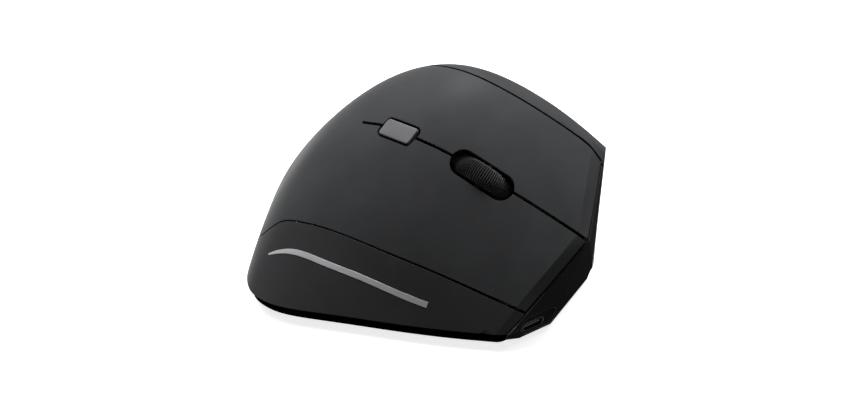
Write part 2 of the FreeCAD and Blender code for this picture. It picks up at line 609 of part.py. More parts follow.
def wheel_parts():
    """Wheel, axle, carrier, encoder and bracket in the wheel's own frame, then in place."""
    r, z = WHEEL_RADIUS, WHEEL_PROUD - WHEEL_RADIUS
    centre = Vector(0, 0, z)
    rim = r - TYRE_THICKNESS
    half = TYRE_WIDTH / 2
    profile = [Vector(-half, 0, z + rim), Vector(-half, 0, z + r - TYRE_CROWN / 2)]
    arc = Part.Arc(profile[1], Vector(0, 0, z + r), Vector(half, 0, z + r - TYRE_CROWN / 2)).toShape()
    sides = Part.makePolygon([Vector(half, 0, z + r - TYRE_CROWN / 2), Vector(half, 0, z + rim),
                              profile[0], profile[1]])
    face = Part.Face(Part.Wire([arc] + sides.Edges))
    tyre = face.revolve(centre, Vector(1, 0, 0), 360)
    hub = rod(rim - TYRE_FIT, centre - Vector(half - 0.4, 0, 0), centre + Vector(half - 0.4, 0, 0))
    for side in (-1, 1):
        pocket = rod(rim - 2.0, centre + Vector(side * 1.4, 0, 0), centre + Vector(side * half, 0, 0))
        hub = hub.cut(pocket)
        hub = hub.fuse(rod(2.6, centre, centre + Vector(side * (SLOT_WIDTH / 2 + 0.3), 0, 0)))
    inside = SLOT_WIDTH / 2 + 0.6
    outside = inside + CARRIER_WALL
    left_end, right_end = Vector(-outside - 0.6, 0, z), Vector(AXLE_REACH, 0, z)
    hub = hub.removeSplitter().cut(rod(AXLE_RADIUS, left_end, right_end))
    axle = rod(AXLE_RADIUS, left_end, right_end)

    pivot_z = z - 3.0
    strike = WHEEL_TRAVEL * (WHEEL_SWITCH[1] - PIVOT_Y) / -PIVOT_Y + STRIKER_SLACK
    bar_low, bar_high = TACT.z + TACT_DOME + strike - KEY_BOARD_DEPTH, z + 0.5
    plates = []
    for side in (-1, 1):
        x = sorted((side * inside, side * outside))
        plates.append(box(x, (PIVOT_Y, r + 3.2), (z - 4.4, z + 2.6)))
        plates.append(rod(2.2, Vector(x[0], PIVOT_Y, pivot_z), Vector(x[1], PIVOT_Y, pivot_z)))
        plates.append(rod(PIVOT_RADIUS, Vector(side * inside, PIVOT_Y, pivot_z),
                          Vector(side * (outside + 2.0), PIVOT_Y, pivot_z)))
    plates.append(box((-outside, outside), (r + 1.2, r + 3.2), (bar_low, bar_high)))
    plates.append(box((-outside, outside), (-r - 3.2, -r - 1.2), (bar_low, bar_high)))
    plates.append(box((0.0, 2.2), (r + 3.2, WHEEL_SWITCH[1] + 1.4), (bar_low, bar_low + 1.8)))
    carrier = joined(plates).cut(rod(AXLE_RADIUS + AXLE_FIT, left_end, right_end))

    encoder = box((outside, AXLE_REACH + 0.6), (-4.2, 4.2), (z - 4.4, z + 3.6))
    encoder = encoder.cut(rod(AXLE_RADIUS + AXLE_FIT, left_end, right_end + Vector(0.1, 0, 0)))

    floor = -KEY_BOARD_DEPTH
    ears = [box((-outside - 2.7, outside + 2.7), (PIVOT_Y - 3.0, PIVOT_Y + 3.0), (floor, floor + 1.0))]
    for side in (-1, 1):
        x = sorted((side * (outside + 0.5), side * (outside + 2.7)))
        ears.append(box(x, (PIVOT_Y - 3.0, PIVOT_Y + 3.0), (floor, pivot_z)))
        ears.append(rod(3.0, Vector(x[0], PIVOT_Y, pivot_z), Vector(x[1], PIVOT_Y, pivot_z)))
    bore = rod(PIVOT_RADIUS + AXLE_FIT, Vector(-outside - 5, PIVOT_Y, pivot_z), Vector(outside + 5, PIVOT_Y, pivot_z))
    bracket = joined(ears).cut(bore)
    return [placed(p, wheel_frame) for p in (tyre, hub, axle, carrier, encoder, bracket)]


def board_left():
    """Left edge of the key board, which stays clear of the frame's tower at any depth."""
    under_board = wheel_frame.multVec(Vector(0, 0, -KEY_BOARD_DEPTH - BOARD))
    across = wheel_frame.Rotation.multVec(Vector(1, 0, 0))
    return (TOWER_X[1] + BOARD_CLEAR - under_board.x) / across.x


def key_electronics():
    """Board under the keys with its switches and their plungers."""
    floor = -KEY_BOARD_DEPTH
    board = box((board_left(), KEY_BOARD_RIGHT), KEY_BOARD_Y, (floor - BOARD, floor))
    board = board.cut(block(Vector(0, 0, floor - BOARD), BOARD_WINDOW + Vector(0, 0, BOARD)))
    parts = [board]
    for x in SWITCH_X:
        body = block(Vector(x, SWITCH_Y, floor), SWITCH)
        well = PLUNGER + Vector(2 * PLUNGER_FIT, 2 * PLUNGER_FIT, 1.0)
        y = SWITCH_Y + PLUNGER_SHIFT
        body = body.cut(block(Vector(x, y, floor + SWITCH.z - 2.0), well))
        plunger = block(Vector(x, y, floor + SWITCH.z - 1.4), PLUNGER + Vector(0, 0, 1.4))
        parts += [body, plunger]
    parts = [placed(p, wheel_frame) for p in parts]
    parts.append(tact(lifted(wheel_frame, WHEEL_SWITCH[0], WHEEL_SWITCH[1], floor)))
    return parts


def dpi_parts():
    """Resolution button with its stem, its board and the switch between them."""
    cap = slanted(DPI_LENGTH, DPI_WIDTH, DPI_SKEW, DPI_CORNER, DPI_PROUD - DPI_THICK, DPI_PROUD)
    stem_end = -DPI_BOARD_DEPTH + TACT.z + TACT_DOME + BUTTON_TRAVEL + BUTTON_SLACK
    stem = Part.makeCylinder(DPI_STEM, DPI_PROUD - DPI_THICK - stem_end, Vector(0, 0, stem_end))
    button = placed(joined([cap, stem]), dpi_frame)
    board = placed(block(Vector(0, 0, -DPI_BOARD_DEPTH - BOARD), DPI_BOARD + Vector(0, 0, BOARD)), dpi_frame)
    return button, board, tact(lifted(dpi_frame, 0, 0, -DPI_BOARD_DEPTH))


def thumb_electronics():
    board = box((THUMB_BOARD_X, THUMB_BOARD_X + BOARD), THUMB_BOARD_Y, THUMB_BOARD_Z)
    switches = []
    for spot in THUMB_SPOTS:
        z = thumb_frame(spot).multVec(Vector(0, 0, -2.6)).z
        side = frame(Vector(THUMB_BOARD_X, spot.y, z), Vector(0, 0, 1), Vector(0, 1, 0), Vector(-1, 0, 0))
        switches.append(tact(side))
    return [board] + switches


def plan(inset, low, high, behind_nose=True):
    """Upright block over the outline of the covers' lower edge, moved inwards by an inset."""
    outline = dome(pushed(rows, inset)).slice(Vector(0, 0, 1), SKIRT_Z)[0]
    side = max(outline.Edges, key=lambda e: e.Length)
    points = [Vector(p.x, p.y, low) for p in side.discretize(41)]
    curve = Part.BSplineCurve()
    curve.interpolate(points)
    face = Part.Face(Part.Wire([curve.toShape(), Part.makeLine(points[-1], points[0])]))
    solid = face.extrude(Vector(0, 0, high - low))
    return trimmed(solid, faces, WALL + inset - TRAY_INSET + TRAY_FIT) if behind_nose else solid


def base_parts(room):
    """Tray with its rim under the covers, chamfered below, and the feet sunk into it."""
    tray = plan(TRAY_INSET, FOOT_HEIGHT, SKIRT_Z).cut(beyond(*corner))
    rim = [e for e in tray.Edges if abs(e.BoundBox.ZMax - FOOT_HEIGHT) < 0.01]
    tray = tray.makeChamfer(TRAY_CHAMFER, rim)
    tray = tray.cut(plan(TRAY_INSET + TRAY_WALL, FOOT_HEIGHT + TRAY_FLOOR, SKIRT_Z + 1))
    feet = []
    for x, y, length, width, angle in FEET:
        pad = stadium(length, width, 0, FOOT_HEIGHT + FOOT_SINK)
        pad.Placement = Placement(Vector(x, y, 0), Rotation(Vector(0, 0, 1), angle + 90))
        feet.append(pad)
        tray = tray.cut(pad)
    floor = FOOT_HEIGHT + TRAY_FLOOR
    for x, y in STANDOFFS:
        tray = tray.fuse(Part.makeCylinder(STANDOFF_RADIUS, MAIN_BOARD_Z - floor, Vector(x, y, floor)))
    return tray.removeSplitter().cut(socket_body(0.3, 6.0)), Part.makeCompound(feet)


def main_board():
    board = box(MAIN_BOARD_X, MAIN_BOARD_Y, (MAIN_BOARD_Z, MAIN_BOARD_Z + BOARD))
    board = trimmed(board, faces, WALL + TRAY_WALL + 0.5)
    limit = dome(pushed(rows, TRAY_INSET + TRAY_WALL + 0.8))
    board = board.common(limit).cut(socket_body(0.2, 6.0))
    return board.cut(block(Vector(SENSOR.x, SENSOR.y, MAIN_BOARD_Z), Vector(5, 5, BOARD)))


strip = strip_blade()
outer, inner, room, nose_cap, thumb_shell, side_panel, palm_cover, upper_key, lower_key = covers()
upper_key, lower_key, nose_cap, thumb_shell, side_panel = openings(
    nose_cap, thumb_shell, side_panel, upper_key, lower_key, outer)


def inner_frame():
    """Spine, webs and tower that carry the boards and hold up the palm cover."""
    floor = FOOT_HEIGHT + TRAY_FLOOR
    high = 80.0
    beside_switch = SWITCH_X[0] - SWITCH.x / 2 - BOARD_CLEAR
    under = box((board_left() - 0.2, FAR), (KEY_BOARD_Y[0] - 0.5, FAR), (-KEY_BOARD_DEPTH - BOARD, FAR))
    under = under.fuse(box((beside_switch, FAR), (KEY_BOARD_Y[0] - 0.5, FAR), (-KEY_BOARD_DEPTH, FAR)))
    under = placed(under, wheel_frame)
    wheel_room = placed(rod(WHEEL_RADIUS + 1.3, Vector(-5, 0, WHEEL_PROUD - WHEEL_RADIUS),
                            Vector(5, 0, WHEEL_PROUD - WHEEL_RADIUS)), wheel_frame)
    under_dpi = placed(box((-FAR, FAR), (-FAR, FAR), (-DPI_BOARD_DEPTH - BOARD, FAR)), dpi_frame)
    spine = box(SPINE_X, (FRAME_Y[0], SPINE_STEP_Y), (floor, high)).cut(under_dpi)
    spine = spine.fuse(box(SPINE_X, (SPINE_STEP_Y, FRAME_Y[1]), (floor, TOWER_Z)))
    saddle = box((-24.0, 17.0), WEBS[0], (floor, high)).common(inner)
    saddle = saddle.cut(rod(8.0, Vector(-14, WEBS[0][0] - 1, 22), Vector(-14, WEBS[0][1] + 1, 22)))
    bridge = box(SPINE_X, (WEBS[0][0], FRAME_Y[0]), (floor, 40.0))
    webs = [box((-17.0, -5.0), WEBS[1], (floor, high)).cut(under_dpi)]
    webs.append(box((-21.2, -4.0), WEBS[2], (floor, TOWER_Z)))
    tower = box(TOWER_X, THUMB_BOARD_Y, (floor, TOWER_Z))
    flange = box(FLANGE_X, FRAME_Y, (floor, floor + FLANGE))
    posts = [Part.makeCylinder(POST_RADIUS, POST_HEIGHT, Vector(x, y, floor)) for x, y in SCREWS]
    frame_part = joined([spine, flange, bridge, tower] + webs + posts).cut(under).cut(wheel_room)
    for y in (0.0, 16.0):
        frame_part = frame_part.cut(rod(6.5, Vector(-30, y, 18), Vector(-5, y, 18)))
    frame_part = joined([frame_part, saddle])
    frame_part = frame_part.cut(block(POWER_SPOT, POWER_BODY + Vector(0.6, 0.6, 8.0)))
    x, y, z = BATTERY
    frame_part = frame_part.cut(box((x[0] - 2, x[1] + 2), (y[0] - 2, y[1] + 2), (z[0] - 1, z[1] + 0.6)))
    for x, y in SCREWS:
        frame_part = frame_part.cut(Part.makeCylinder(SCREW_RADIUS, SCREW_LENGTH, Vector(x, y, FOOT_HEIGHT)))
    return frame_part


def screws(tray):
    head_radius, head = SCREW_HEAD
    made = []
    for x, y in SCREWS:
        tray = tray.cut(Part.makeCylinder(head_radius + SCREW_FIT, head + 0.1, Vector(x, y, FOOT_HEIGHT)))
        tray = tray.cut(Part.makeCylinder(SCREW_RADIUS + SCREW_FIT, 4.0, Vector(x, y, FOOT_HEIGHT)))
        screw = Part.makeCylinder(head_radius, head, Vector(x, y, FOOT_HEIGHT + 0.1))
        screw = screw.fuse(Part.makeCylinder(SCREW_RADIUS, SCREW_LENGTH - 0.1, Vector(x, y, FOOT_HEIGHT + 0.1)))
        slot = box((x - 1.2, x + 1.2), (y - 0.25, y + 0.25), (FOOT_HEIGHT, FOOT_HEIGHT + 0.6))
        cross = box((x - 0.25, x + 0.25), (y - 1.2, y + 1.2), (FOOT_HEIGHT, FOOT_HEIGHT + 0.6))
        made.append(screw.removeSplitter().cut(slot).cut(cross))
    return tray, Part.makeCompound(made)


def power_switch(tray):
    floor = FOOT_HEIGHT + TRAY_FLOOR
    body = block(POWER_SPOT + Vector(0, 0, floor), POWER_BODY)
    cavity = block(POWER_SPOT + Vector(0, 0, floor), Vector(4.2, 9.0, 2.2))
    body = body.cut(cavity)
    rest_y = -POWER_TRAVEL / 2
    slot_size = POWER_KNOB + Vector(0.4, POWER_TRAVEL + 0.4, floor)
    tray = tray.cut(block(POWER_SPOT, slot_size))
    knob = block(POWER_SPOT + Vector(0, rest_y, FOOT_HEIGHT + 0.3), POWER_KNOB + Vector(0, 0, TRAY_FLOOR))
    for i in range(3):
        y = POWER_SPOT.y + rest_y - 0.9 + 0.9 * i
        knob = knob.cut(box((POWER_SPOT.x - 2, POWER_SPOT.x + 2), (y - 0.2, y + 0.2), (0, FOOT_HEIGHT + 0.6)))
    flange = block(POWER_SPOT + Vector(0, rest_y, floor + 0.05), Vector(4.0, 5.6, 1.6))
    return tray, body, joined([knob, flange])


def battery_parts(tray):
    x, y, z = BATTERY
    cell = box(x, y, z)
    cell = cell.makeFillet(1.6, [e for e in cell.Edges if abs(e.BoundBox.ZLength) > 1])
    grow = BATTERY_WALL + 0.2
    fence = box((x[0] - grow, x[1] + grow), (y[0] - grow, y[1] + grow), (z[0], z[0] + 3.0))
    fence = fence.cut(box((x[0] - 0.2, x[1] + 0.2), (y[0] - 0.2, y[1] + 0.2), (z[0] - 1, z[1])))
    fence = fence.cut(box((x[0] + 4, x[1] - 4), (-FAR, FAR), z)).cut(box((-FAR, FAR), (y[0] + 4, y[1] - 4), z))
    return joined([tray, fence.common(room)]), cell


def optics(tray):
    floor = FOOT_HEIGHT + TRAY_FLOOR
    window = block(SENSOR, LENS_WINDOW + Vector(0, 0, floor))
    tray = tray.cut(window)
    pad = LENS_WINDOW + Vector(-2 * LENS_FIT, -2 * LENS_FIT, floor - LENS_SINK - FOOT_HEIGHT)
    lens = block(SENSOR + Vector(0, 0, FOOT_HEIGHT + LENS_SINK), pad)
    lens = lens.fuse(block(SENSOR + Vector(0, 0, floor), LENS_SIZE + Vector(0, 0, MAIN_BOARD_Z - floor)))
    lens = joined([lens, Part.makeCylinder(1.8, BOARD, SENSOR + Vector(0, 0, MAIN_BOARD_Z))])
    lens = lens.cut(Part.makeSphere(2.2, SENSOR + Vector(0, -2.0, FOOT_HEIGHT + LENS_SINK - 1.2)))
    sensor = block(SENSOR + Vector(0, 0, MAIN_BOARD_Z + BOARD), SENSOR_SIZE)
    return tray, lens, sensor


def usb_socket():
    mouth = SOCKET_HEIGHT - 2 * SOCKET_WALL
    shell = socket_body()
    cavity = placed(stadium(SOCKET_LENGTH - 2 * SOCKET_WALL, mouth, -SOCKET_DEPTH + 1.0, 1.0), socket_frame())
    half = SOCKET_TONGUE / 2
    tongue = box((-half, half), (-3.35, 3.35), (-SOCKET_DEPTH + 0.5, -0.6))
    return joined([shell.cut(cavity), placed(tongue, socket_frame())])


tray, feet = base_parts(room)
tray, screw_set = screws(tray)
tray, power_body, power_knob = power_switch(tray)
tray, cell = battery_parts(tray)
tray, lens, sensor = optics(tray)
tyre, hub, axle, carrier, encoder, bracket = wheel_parts()
key_board, upper_switch, upper_plunger, lower_switch, lower_plunger, wheel_tact = key_electronics()
dpi_button, dpi_board, dpi_tact = dpi_parts()
thumb_board, forward_tact, back_tact = thumb_electronics()
forward_button, back_button = thumb_buttons()

nodes = {
    "base_tray": tray, "glide_feet": feet, "palm_cover": palm_cover, "upper_key": upper_key,
    "lower_key": lower_key, "side_panel": side_panel, "accent_strip": strip,
    "thumb_shell": thumb_shell, "nose_cap": nose_cap, "forward_button": forward_button,
    "back_button": back_button, "dpi_button": dpi_button, "wheel_tyre": tyre, "wheel_hub": hub,
    "wheel_axle": axle, "wheel_carrier": carrier, "wheel_encoder": encoder,
    "wheel_bracket": bracket, "key_board": key_board, "upper_key_switch": upper_switch,
    "upper_key_plunger": upper_plunger, "lower_key_switch": lower_switch,
    "lower_key_plunger": lower_plunger, "wheel_switch": wheel_tact, "dpi_board": dpi_board,
    "dpi_switch": dpi_tact, "thumb_board": thumb_board, "forward_switch": forward_tact,
    "back_switch": back_tact, "main_board": main_board(), "optical_sensor": sensor,
    "sensor_lens": lens, "usb_c_socket": usb_socket(), "battery_cell": cell,
    "inner_frame": inner_frame(), "power_switch_body": power_body, "power_slider": power_knob,
    "case_screws": screw_set,
}
for name, shape in nodes.items():
    shape.exportStep("parts/%s.step" % name)
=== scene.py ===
# %% [markdown]
# # An upright mouse for the right hand
# The body stands like a hand ready to shake another: the fingers lie on the sloping face at
# +X, the thumb rests against the hollow at -X, and the nose points along +Y.  The solids of the
# mouse are loaded first, and everything after that dresses them.

# %% The solids and the tools
import json
import math

import bmesh
import bpy
from mathutils import Matrix, Vector


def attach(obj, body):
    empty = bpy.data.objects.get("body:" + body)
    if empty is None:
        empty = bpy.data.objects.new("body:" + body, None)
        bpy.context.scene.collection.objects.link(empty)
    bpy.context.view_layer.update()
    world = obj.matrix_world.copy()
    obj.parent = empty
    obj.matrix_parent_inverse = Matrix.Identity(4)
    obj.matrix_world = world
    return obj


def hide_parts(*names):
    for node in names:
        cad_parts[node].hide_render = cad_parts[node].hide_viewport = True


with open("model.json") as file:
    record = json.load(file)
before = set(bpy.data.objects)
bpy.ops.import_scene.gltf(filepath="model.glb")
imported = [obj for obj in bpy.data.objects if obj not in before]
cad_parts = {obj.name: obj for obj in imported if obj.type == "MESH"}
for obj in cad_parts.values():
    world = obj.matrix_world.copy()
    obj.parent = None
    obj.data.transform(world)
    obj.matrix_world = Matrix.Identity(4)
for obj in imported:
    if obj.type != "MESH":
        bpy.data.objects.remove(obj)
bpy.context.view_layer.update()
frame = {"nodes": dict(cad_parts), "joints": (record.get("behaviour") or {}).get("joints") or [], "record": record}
nodes = frame["nodes"]
joints = {joint["name"]: joint for joint in frame["joints"]}

# %% [markdown]
# ## Stage, camera and light
# The mouse was taken on plain white from the front right and above.  A long lens 0.7 m away
# keeps the same small perspective.  The white comes from what the camera sees of the floor and the
# world, so the lamps stay at a level that leaves black plastic black.

# %% Camera
EYE = Vector((0.5542, 0.2395, 0.3893))
AIM = Vector((0.0, 0.0, 0.035))
LENS, SENSOR = 88.75, 36.0
PICTURE_WIDTH = 854
SHIFT_PIXELS = (3.5, -2.7)

camera = bpy.data.objects.new("camera", bpy.data.cameras.new("camera"))
camera.data.sensor_width = SENSOR
camera.data.lens = LENS
camera.data.shift_x = SHIFT_PIXELS[0] / PICTURE_WIDTH
camera.data.shift_y = SHIFT_PIXELS[1] / PICTURE_WIDTH
camera.location = EYE
camera.rotation_euler = (AIM - EYE).to_track_quat("-Z", "Y").to_euler()
camera.data.clip_start, camera.data.clip_end = 0.01, 20.0
scene = bpy.context.scene
scene.collection.objects.link(camera)
scene.camera = camera
scene.view_settings.view_transform = "Standard"
print("camera distance:", round((AIM - EYE).length, 3))


# %% Node helpers for materials
def shader(name):
    """A new material, its node tree and its Principled shader."""
    material = bpy.data.materials.new(name)
    material.use_nodes = True
    tree = material.node_tree
    return material, tree, tree.nodes["Principled BSDF"]


def add(tree, kind, **values):
    """A node of that kind, with its sockets and settings set by name."""
    node = tree.nodes.new(kind)
    for key, value in values.items():
        if key in node.inputs:
            node.inputs[key].default_value = value
        else:
            setattr(node, key, value)
    return node


def spread(tree, source, low, high, to_low, to_high):
    """Map Range node that takes a value between two limits to another pair of limits."""
    node = add(tree, "ShaderNodeMapRange")
    limits = (("From Min", low), ("From Max", high), ("To Min", to_low), ("To Max", to_high))
    for name, value in limits:
        node.inputs[name].default_value = value
    tree.links.new(source, node.inputs["Value"])
    return node.outputs["Result"]


def seen_directly(tree):
    """1 for rays from the camera, through glass or off a mirror, and 0 for light that bounces."""
    path = add(tree, "ShaderNodeLightPath")
    mask = path.outputs["Is Camera Ray"]
    for ray in ("Is Transmission Ray", "Is Glossy Ray"):
        either = add(tree, "ShaderNodeMath", operation="MAXIMUM")
        tree.links.new(mask, either.inputs[0])
        tree.links.new(path.outputs[ray], either.inputs[1])
        mask = either.outputs[0]
    return mask


# %% [markdown]
# The floor is a wide disc.  What the camera, the mirror rays and the rays through glass see of it
# is a glow just short of white plus its own lit surface, so it reads as white paper and still
# darkens in the mouse's shadow.  For the light that bounces, floor and world are nearly black.
# White ones would light the covers from below as well and take away most of their shading.

# %% Floor and world
FLOOR_GLOW = 0.8
FLOOR_COLOUR, FLOOR_BOUNCE = 0.8, 0.03
WORLD_WHITE, WORLD_BOUNCE = 1.0, 0.06
FLOOR_RADIUS = 3.0
FLOOR_DROP = 0.0005


def paper_material(name):
    material, tree, surface = shader(name)
    surface.inputs["Roughness"].default_value = 0.9
    mask = seen_directly(tree)
    tree.links.new(spread(tree, mask, 0.0, 1.0, FLOOR_BOUNCE, FLOOR_COLOUR),
                   surface.inputs["Base Color"])
    strength = add(tree, "ShaderNodeMath", operation="MULTIPLY")
    strength.inputs[1].default_value = FLOOR_GLOW
    tree.links.new(mask, strength.inputs[0])
    white = add(tree, "ShaderNodeEmission", Color=(1, 1, 1, 1))
    tree.links.new(strength.outputs[0], white.inputs["Strength"])
    both = add(tree, "ShaderNodeAddShader")
    tree.links.new(surface.outputs[0], both.inputs[0])
    tree.links.new(white.outputs[0], both.inputs[1])
    tree.links.new(both.outputs[0], tree.nodes["Material Output"].inputs["Surface"])
    return material


mesh = bpy.data.meshes.new("floor")
bm = bmesh.new()
bmesh.ops.create_circle(bm, cap_ends=True, radius=FLOOR_RADIUS, segments=64)
bm.to_mesh(mesh)
bm.free()
floor = bpy.data.objects.new("floor", mesh)
floor.location.z = -FLOOR_DROP
scene.collection.objects.link(floor)
floor.data.materials.append(paper_material("paper_white"))

world = bpy.data.worlds.new("studio")
scene.world = world
world.use_nodes = True
sky = world.node_tree
background = sky.nodes["Background"]
background.inputs["Color"].default_value = (1, 1, 1, 1)
sky.links.new(spread(sky, seen_directly(sky), 0.0, 1.0, WORLD_BOUNCE, WORLD_WHITE),
              background.inputs["Strength"])

# %% [markdown]
# Three square softboxes hang above the mouse.  Most of the light comes from the one overhead,
# which makes the palm the lightest part and lets the tone fall towards the panel.  Of the other
# two, one stands towards the thumb side and one towards the tail.

# %% Lamps
LAMP_AIM = Vector((0, 0, 0.03))
LAMP_SIDE = 0.45


def lamp(name, place, watts):
    light = bpy.data.lights.new(name, "AREA")
    light.shape = "RECTANGLE"
    light.size = light.size_y = LAMP_SIDE
    light.energy = watts
    holder = bpy.data.objects.new(name, light)
    holder.location = place
    holder.rotation_euler = (LAMP_AIM - Vector(place)).to_track_quat("-Z", "Y").to_euler()
    scene.collection.objects.link(holder)


lamp("softbox_over", (-0.294, -0.17, 1.076), 18.0)
lamp("softbox_left", (-0.548, 0.398, 0.897), 4.5)
lamp("softbox_behind", (0.0, -0.677, 0.897), 4.0)


# %% [markdown]
# ## Moulded plastic
# The covers are injection-moulded plastic with a fine spark-eroded grain.  A grain could be a
# photo of plastic, but noise that is worked out per point never repeats and needs no picture.
# One recipe makes every moulded finish: a fine noise for the bumps of the grain, a broad one for
# the slight clouds in colour and shine that handling leaves, and a Bevel node that rounds the
# sharp edges of the solids for the light.  The same node picks out the edges, which are painted
# lighter and smoother, partly as wear and partly as a painted highlight.
# On the keys that rounding is left out along the line where they meet the palm, which would
# otherwise show as a scratch.

# %% The recipe for moulded plastic
for plain in list(bpy.data.materials):
    if plain.name != "paper_white":
        bpy.data.materials.remove(plain)

CLOUD_LOW, CLOUD_HIGH = 0.35, 0.65
EDGE_FLAT, EDGE_SHARP = 0.97, 0.80
CREST_LOW, CREST_HIGH = 0.5, 0.58
PAINTED_HIGHLIGHT_NEAR, PAINTED_HIGHLIGHT_FAR = 0.009, 0.013
SEAM_HALF_WIDTH = 0.0006


def object_place(tree):
    return add(tree, "ShaderNodeTexCoord").outputs["Object"]


def times(tree, one, other):
    node = add(tree, "ShaderNodeMath", operation="MULTIPLY")
    tree.links.new(one, node.inputs[0])
    tree.links.new(other, node.inputs[1])
    return node.outputs[0]


def blend(tree, share, low, high):
    """Mix of two colours; the first may also be the output of another node."""
    node = add(tree, "ShaderNodeMix", data_type="RGBA")
    tree.links.new(share, node.inputs[0])
    if isinstance(low, bpy.types.NodeSocket):
        tree.links.new(low, node.inputs[6])
    else:
        node.inputs[6].default_value = (*low, 1)
    node.inputs[7].default_value = (*high, 1)
    return node.outputs[2]


def bumps(tree, surface, height, strength, depth, facing=None):
    node = add(tree, "ShaderNodeBump", Strength=strength, Distance=depth)
    tree.links.new(height, node.inputs["Height"])
    if facing is not None:
        tree.links.new(facing, node.inputs["Normal"])
    tree.links.new(node.outputs["Normal"], surface.inputs["Normal"])


def edge_wear_and_highlight(tree, rounded, flat, wear_and_highlight_share):
    """Share of edge lightening, partly wear and partly a painted highlight: high where the rounded normal turns
    away from the flat one.
    """
    meet = add(tree, "ShaderNodeVectorMath", operation="DOT_PRODUCT")
    tree.links.new(rounded.outputs["Normal"], meet.inputs[0])
    tree.links.new(flat.outputs["Normal"], meet.inputs[1])
    return spread(tree, meet.outputs["Value"], EDGE_FLAT, EDGE_SHARP, 0.0, wear_and_highlight_share)


def only_near(tree, where, spot, wear_and_highlight):
    """The same share of edge lightening, but only round one spot, where it is a painted highlight."""
    far = add(tree, "ShaderNodeVectorMath", operation="DISTANCE")
    far.inputs[1].default_value = spot
    tree.links.new(where, far.inputs[0])
    return times(tree, spread(tree, far.outputs["Value"], PAINTED_HIGHLIGHT_NEAR, PAINTED_HIGHLIGHT_FAR, 1.0, 0.0), wear_and_highlight)


def unrounded_at(tree, where, y, rounded, flat):
    """The rounded normal, but the flat one within a narrow band at that y."""
    place = add(tree, "ShaderNodeSeparateXYZ")
    band = add(tree, "ShaderNodeMath", operation="COMPARE")
    band.inputs[1].default_value, band.inputs[2].default_value = y, SEAM_HALF_WIDTH
    choice = add(tree, "ShaderNodeMix", data_type="VECTOR")
    tree.links.new(where, place.inputs[0])
    tree.links.new(place.outputs["Y"], band.inputs[0])
    tree.links.new(band.outputs[0], choice.inputs[0])
    tree.links.new(rounded.outputs["Normal"], choice.inputs[4])
    tree.links.new(flat.outputs["Normal"], choice.inputs[5])
    return choice.outputs[1]


def plastic(name, colour, rough=0.5, shine=0.3, grain=0.00035, depth=0.00002, cloud=0.08,
            wear_and_highlight_share=0.25, edge=0.0003, wear_and_highlight_to=None, plain_at=None, painted_highlight_at=None, crests=False):
    """Moulded finish.  Grain, depth and edge are in metres; the share of edge lightening sets how far the lighter
    colour goes, partly wear and partly a painted highlight.
    """
    material, tree, surface = shader(name)
    where = object_place(tree)
    fine = add(tree, "ShaderNodeTexNoise", Scale=1 / grain, Detail=2.0, Roughness=0.6)
    broad = add(tree, "ShaderNodeTexNoise", Scale=55.0, Detail=4.0, Roughness=0.55)
    for noise in (fine, broad):
        tree.links.new(where, noise.inputs["Vector"])
    rounded = add(tree, "ShaderNodeBevel", samples=4, Radius=edge)
    flat = add(tree, "ShaderNodeNewGeometry")

    # On ribbed rubber the crests are painted lighter by pointiness: a painted highlight on the rib tops.
    if crests:
        wear_and_highlight = spread(tree, flat.outputs["Pointiness"], CREST_LOW, CREST_HIGH, 0.0, wear_and_highlight_share)
    else:
        wear_and_highlight = edge_wear_and_highlight(tree, rounded, flat, wear_and_highlight_share)
    # Kept to one spot, the lighter edge colour is a painted highlight.
    if painted_highlight_at is not None:
        wear_and_highlight = only_near(tree, where, painted_highlight_at, wear_and_highlight)

    dark = [c * (1 - cloud) for c in colour]
    light = [c * (1 + cloud) for c in colour]
    clouds = spread(tree, broad.outputs[0], CLOUD_LOW, CLOUD_HIGH, 0.0, 1.0)
    shade = blend(tree, clouds, dark, light)
    # Edges are painted in a lighter colour, partly as wear and partly as a painted highlight.
    wear_and_highlight_colour = wear_and_highlight_to or [min(1.0, c * 1.5 + 0.005) for c in colour]
    tree.links.new(blend(tree, wear_and_highlight, shade, wear_and_highlight_colour), surface.inputs["Base Color"])

    matt = spread(tree, broad.outputs[0], CLOUD_LOW, CLOUD_HIGH, rough - 0.04, rough + 0.05)
    smoother = add(tree, "ShaderNodeMath", operation="SUBTRACT", use_clamp=True)
    tree.links.new(matt, smoother.inputs[0])
    tree.links.new(wear_and_highlight, smoother.inputs[1])
    tree.links.new(smoother.outputs[0], surface.inputs["Roughness"])
    surface.inputs["Specular IOR Level"].default_value = shine

    facing = rounded.outputs["Normal"]
    if plain_at is not None:
        facing = unrounded_at(tree, where, plain_at, rounded, flat)
    bumps(tree, surface, fine.outputs[0], 0.6, depth, facing)
    return material


# %% [markdown]
# The large covers have hardly any shine, because a matt black surface seen at a low angle would
# mirror the white surroundings.  On the nose only the rim of the inlet's recess is painted nearly
# white, a painted highlight along the rounded rim.

# %% The moulded finishes
HINGE_Y = -0.022
INLET = (0.0108, 0.0439, 0.0062)

